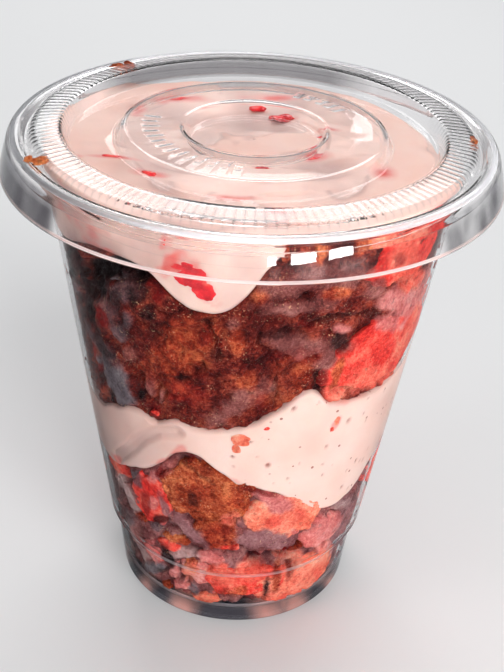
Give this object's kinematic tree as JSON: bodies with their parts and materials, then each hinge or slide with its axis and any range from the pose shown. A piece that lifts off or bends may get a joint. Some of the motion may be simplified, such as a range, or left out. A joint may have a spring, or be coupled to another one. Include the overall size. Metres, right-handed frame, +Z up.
{
  "type": "cake cup",
  "caption": "Crumbled brown and red cake layered with pale pink cream in a tapered clear plastic cup, shut by a flat clear push-on lid with a ribbed ring.",
  "frame": {"origin": "centre of the cup's foot, on the surface it stands on", "axes": "+Z up along the cup's axis, -Y towards the side that the picture shows, +X to its right"},
  "size_m": [0.097, 0.097, 0.1054],
  "materials": {
    "clear_plastic": "clear thin moulded sheet, glossy",
    "cream": "smooth whipped cream with small pits, satin",
    "brown_cake": "browned open crumb, rough",
    "dark_cake": "dark moist crumb with jam, rough",
    "red_cake": "red and pink moist crumb, rough",
    "strawberry": "wet fruit, glossy"
  },
  "bodies": {
    "root": {"cup": "clear_plastic", "lid": "clear_plastic", "cream_top": "cream", "cream_middle": "cream", "cake_upper": "brown_cake", "cake_lower": "dark_cake", "cake_upper_red": "red_cake", "cake_top_red": "red_cake", "cake_upper_back": "red_cake", "cake_upper_left": "red_cake", "strawberry_top": "strawberry", "cake_lower_brown": "brown_cake", "cake_lower_right": "red_cake", "cake_lower_left": "red_cake", "cake_lower_side": "red_cake", "cake_lower_back": "brown_cake", "cake_base_left": "red_cake", "cake_base_front": "red_cake", "cake_base_right": "red_cake"}
  },
  "joints": []
}
